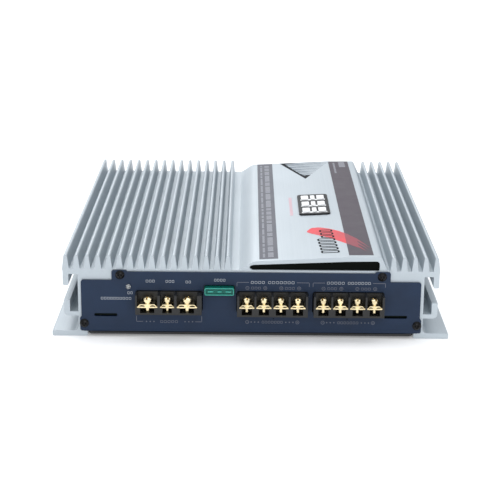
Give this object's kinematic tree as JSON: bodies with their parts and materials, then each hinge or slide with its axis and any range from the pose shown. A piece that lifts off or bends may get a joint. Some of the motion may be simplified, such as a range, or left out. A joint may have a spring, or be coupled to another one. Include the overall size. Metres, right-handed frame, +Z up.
{
  "type": "car amplifier",
  "caption": "Finned aluminium car amplifier with a raised off-centre platform, dark blue end plates, screw terminal blocks, a blade fuse and side mounting feet.",
  "frame": {"origin": "middle of the whole body on the mounting surface, under the feet", "axes": "+Z up, +Y back along the fins away from the terminals, +X to the right seen from the terminals"},
  "size_m": [0.2556, 0.286, 0.0552],
  "materials": {
    "satin_aluminium": "satin clear anodised, extruded",
    "black_paint": "satin black paint",
    "black_steel": "black oxide, slightly glossy",
    "blue_paint": "semi-gloss dark blue paint",
    "soft_black_plastic": "matt black",
    "badge_black": "gloss black with a bright rim",
    "black_plastic": "moulded black",
    "gold_plate": "bright gold plating",
    "green_fuse_plastic": "translucent green",
    "plated_steel": "bright plating",
    "clear_lens": "clear epoxy",
    "dark_board": "dark solder mask",
    "ferrite": "coated powder core",
    "enamelled_copper": "clear enamel over copper",
    "capacitor_sleeve": "heat-shrink sleeve",
    "silicone_pad": "matt silicone",
    "jack_plastic": "moulded white",
    "pot_plastic": "moulded blue-grey",
    "knob_plastic": "moulded black"
  },
  "bodies": {
    "chassis": {"heatsink": "satin_aluminium", "bottom_cover": "black_paint", "bottom_cover_screws": "black_steel", "end_plate_screws": "black_steel", "front_end_plate": "blue_paint", "rear_end_plate": "blue_paint", "channel_plugs": "soft_black_plastic", "badge": "badge_black", "power_terminal_block": "black_plastic", "rear_speaker_terminal_block": "black_plastic", "front_speaker_terminal_block": "black_plastic", "fuse_holder": "black_plastic", "signal_chips": "black_plastic", "power_transistors": "black_plastic", "jack_housings": "black_plastic", "terminal_contacts": "gold_plate", "jack_sleeves": "gold_plate", "fuse_contacts": "gold_plate", "clamp_bars": "plated_steel", "clamp_bar_screws": "plated_steel", "slide_switches": "plated_steel", "status_led": "clear_lens", "main_board": "dark_board", "toroid_core": "ferrite", "toroid_winding": "enamelled_copper", "input_choke": "enamelled_copper", "filter_capacitors": "capacitor_sleeve", "insulator_strips": "silicone_pad", "jack_insulators": "jack_plastic", "potentiometers": "pot_plastic"},
    "ground_clamp_slides": {"ground_clamp": "gold_plate"},
    "ground_screw_turns": {"ground_screw": "gold_plate"},
    "remote_clamp_slides": {"remote_clamp": "gold_plate"},
    "remote_screw_turns": {"remote_screw": "gold_plate"},
    "battery_clamp_slides": {"battery_clamp": "gold_plate"},
    "battery_screw_turns": {"battery_screw": "gold_plate"},
    "ch4_minus_clamp_slides": {"ch4_minus_clamp": "gold_plate"},
    "ch4_minus_screw_turns": {"ch4_minus_screw": "gold_plate"},
    "ch4_plus_clamp_slides": {"ch4_plus_clamp": "gold_plate"},
    "ch4_plus_screw_turns": {"ch4_plus_screw": "gold_plate"},
    "ch3_minus_clamp_slides": {"ch3_minus_clamp": "gold_plate"},
    "ch3_minus_screw_turns": {"ch3_minus_screw": "gold_plate"},
    "ch3_plus_clamp_slides": {"ch3_plus_clamp": "gold_plate"},
    "ch3_plus_screw_turns": {"ch3_plus_screw": "gold_plate"},
    "ch2_minus_clamp_slides": {"ch2_minus_clamp": "gold_plate"},
    "ch2_minus_screw_turns": {"ch2_minus_screw": "gold_plate"},
    "ch2_plus_clamp_slides": {"ch2_plus_clamp": "gold_plate"},
    "ch2_plus_screw_turns": {"ch2_plus_screw": "gold_plate"},
    "ch1_minus_clamp_slides": {"ch1_minus_clamp": "gold_plate"},
    "ch1_minus_screw_turns": {"ch1_minus_screw": "gold_plate"},
    "ch1_plus_clamp_slides": {"ch1_plus_clamp": "gold_plate"},
    "ch1_plus_screw_turns": {"ch1_plus_screw": "gold_plate"},
    "fuse": {"fuse_body": "green_fuse_plastic", "fuse_element": "plated_steel"},
    "front_gain_knob_turns": {"front_gain_knob": "knob_plastic"},
    "rear_gain_knob_turns": {"rear_gain_knob": "knob_plastic"},
    "front_filter_knob_turns": {"front_filter_knob": "knob_plastic"},
    "rear_filter_knob_turns": {"rear_filter_knob": "knob_plastic"},
    "front_filter_lever_slides": {"front_filter_lever": "knob_plastic"},
    "rear_filter_lever_slides": {"rear_filter_lever": "knob_plastic"}
  },
  "joints": [
    {"name": "ground_clamp_lift", "type": "slide", "parent": "chassis", "child": "ground_clamp_slides", "axis": [0, 0, 1], "range_m": [0, 0.0028]},
    {"name": "ground_screw_turn", "type": "hinge", "parent": "ground_clamp_slides", "child": "ground_screw_turns", "pos_m": [-0.0658, -0.1386, 0.0251], "axis": [0, 0, 1], "range_deg": [0, 1450]},
    {"name": "remote_clamp_lift", "type": "slide", "parent": "chassis", "child": "remote_clamp_slides", "axis": [0, 0, 1], "range_m": [0, 0.0028]},
    {"name": "remote_screw_turn", "type": "hinge", "parent": "remote_clamp_slides", "child": "remote_screw_turns", "pos_m": [-0.0532, -0.1386, 0.0251], "axis": [0, 0, 1], "range_deg": [0, 1450]},
    {"name": "battery_clamp_lift", "type": "slide", "parent": "chassis", "child": "battery_clamp_slides", "axis": [0, 0, 1], "range_m": [0, 0.0028]},
    {"name": "battery_screw_turn", "type": "hinge", "parent": "battery_clamp_slides", "child": "battery_screw_turns", "pos_m": [-0.0406, -0.1386, 0.0251], "axis": [0, 0, 1], "range_deg": [0, 1450]},
    {"name": "ch4_minus_clamp_lift", "type": "slide", "parent": "chassis", "child": "ch4_minus_clamp_slides", "axis": [0, 0, 1], "range_m": [0, 0.0028]},
    {"name": "ch4_minus_screw_turn", "type": "hinge", "parent": "ch4_minus_clamp_slides", "child": "ch4_minus_screw_turns", "pos_m": [-0.00258, -0.1386, 0.0251], "axis": [0, 0, 1], "range_deg": [0, 1450]},
    {"name": "ch4_plus_clamp_lift", "type": "slide", "parent": "chassis", "child": "ch4_plus_clamp_slides", "axis": [0, 0, 1], "range_m": [0, 0.0028]},
    {"name": "ch4_plus_screw_turn", "type": "hinge", "parent": "ch4_plus_clamp_slides", "child": "ch4_plus_screw_turns", "pos_m": [0.00827, -0.1386, 0.0251], "axis": [0, 0, 1], "range_deg": [0, 1450]},
    {"name": "ch3_minus_clamp_lift", "type": "slide", "parent": "chassis", "child": "ch3_minus_clamp_slides", "axis": [0, 0, 1], "range_m": [0, 0.0028]},
    {"name": "ch3_minus_screw_turn", "type": "hinge", "parent": "ch3_minus_clamp_slides", "child": "ch3_minus_screw_turns", "pos_m": [0.01912, -0.1386, 0.0251], "axis": [0, 0, 1], "range_deg": [0, 1450]},
    {"name": "ch3_plus_clamp_lift", "type": "slide", "parent": "chassis", "child": "ch3_plus_clamp_slides", "axis": [0, 0, 1], "range_m": [0, 0.0028]},
    {"name": "ch3_plus_screw_turn", "type": "hinge", "parent": "ch3_plus_clamp_slides", "child": "ch3_plus_screw_turns", "pos_m": [0.02998, -0.1386, 0.0251], "axis": [0, 0, 1], "range_deg": [0, 1450]},
    {"name": "ch2_minus_clamp_lift", "type": "slide", "parent": "chassis", "child": "ch2_minus_clamp_slides", "axis": [0, 0, 1], "range_m": [0, 0.0028]},
    {"name": "ch2_minus_screw_turn", "type": "hinge", "parent": "ch2_minus_clamp_slides", "child": "ch2_minus_screw_turns", "pos_m": [0.04612, -0.1386, 0.0251], "axis": [0, 0, 1], "range_deg": [0, 1450]},
    {"name": "ch2_plus_clamp_lift", "type": "slide", "parent": "chassis", "child": "ch2_plus_clamp_slides", "axis": [0, 0, 1], "range_m": [0, 0.0028]},
    {"name": "ch2_plus_screw_turn", "type": "hinge", "parent": "ch2_plus_clamp_slides", "child": "ch2_plus_screw_turns", "pos_m": [0.05697, -0.1386, 0.0251], "axis": [0, 0, 1], "range_deg": [0, 1450]},
    {"name": "ch1_minus_clamp_lift", "type": "slide", "parent": "chassis", "child": "ch1_minus_clamp_slides", "axis": [0, 0, 1], "range_m": [0, 0.0028]},
    {"name": "ch1_minus_screw_turn", "type": "hinge", "parent": "ch1_minus_clamp_slides", "child": "ch1_minus_screw_turns", "pos_m": [0.06782, -0.1386, 0.0251], "axis": [0, 0, 1], "range_deg": [0, 1450]},
    {"name": "ch1_plus_clamp_lift", "type": "slide", "parent": "chassis", "child": "ch1_plus_clamp_slides", "axis": [0, 0, 1], "range_m": [0, 0.0028]},
    {"name": "ch1_plus_screw_turn", "type": "hinge", "parent": "ch1_plus_clamp_slides", "child": "ch1_plus_screw_turns", "pos_m": [0.07867, -0.1386, 0.0251], "axis": [0, 0, 1], "range_deg": [0, 1450]},
    {"name": "fuse_pull", "type": "slide", "parent": "chassis", "child": "fuse", "axis": [0, -1, 0], "range_m": [0, 0.016]},
    {"name": "front_gain_knob_turn", "type": "hinge", "parent": "chassis", "child": "front_gain_knob_turns", "pos_m": [0.046, 0.1371, 0.025], "axis": [0, 1, 0], "range_deg": [-150, 150]},
    {"name": "rear_gain_knob_turn", "type": "hinge", "parent": "chassis", "child": "rear_gain_knob_turns", "pos_m": [-0.046, 0.1371, 0.025], "axis": [0, 1, 0], "range_deg": [-150, 150]},
    {"name": "front_filter_knob_turn", "type": "hinge", "parent": "chassis", "child": "front_filter_knob_turns", "pos_m": [0.028, 0.1371, 0.025], "axis": [0, 1, 0], "range_deg": [-150, 150]},
    {"name": "rear_filter_knob_turn", "type": "hinge", "parent": "chassis", "child": "rear_filter_knob_turns", "pos_m": [-0.028, 0.1371, 0.025], "axis": [0, 1, 0], "range_deg": [-150, 150]},
    {"name": "front_filter_lever_shift", "type": "slide", "parent": "chassis", "child": "front_filter_lever_slides", "axis": [1, 0, 0], "range_m": [-0.0022, 0.0022]},
    {"name": "rear_filter_lever_shift", "type": "slide", "parent": "chassis", "child": "rear_filter_lever_slides", "axis": [1, 0, 0], "range_m": [-0.0022, 0.0022]}
  ],
  "couplings": [
    {"joint": "ground_screw_turn", "follows": "ground_clamp_lift", "rad_per_m": 8976},
    {"joint": "remote_screw_turn", "follows": "remote_clamp_lift", "rad_per_m": 8976},
    {"joint": "battery_screw_turn", "follows": "battery_clamp_lift", "rad_per_m": 8976},
    {"joint": "ch4_minus_screw_turn", "follows": "ch4_minus_clamp_lift", "rad_per_m": 8976},
    {"joint": "ch4_plus_screw_turn", "follows": "ch4_plus_clamp_lift", "rad_per_m": 8976},
    {"joint": "ch3_minus_screw_turn", "follows": "ch3_minus_clamp_lift", "rad_per_m": 8976},
    {"joint": "ch3_plus_screw_turn", "follows": "ch3_plus_clamp_lift", "rad_per_m": 8976},
    {"joint": "ch2_minus_screw_turn", "follows": "ch2_minus_clamp_lift", "rad_per_m": 8976},
    {"joint": "ch2_plus_screw_turn", "follows": "ch2_plus_clamp_lift", "rad_per_m": 8976},
    {"joint": "ch1_minus_screw_turn", "follows": "ch1_minus_clamp_lift", "rad_per_m": 8976},
    {"joint": "ch1_plus_screw_turn", "follows": "ch1_plus_clamp_lift", "rad_per_m": 8976}
  ]
}
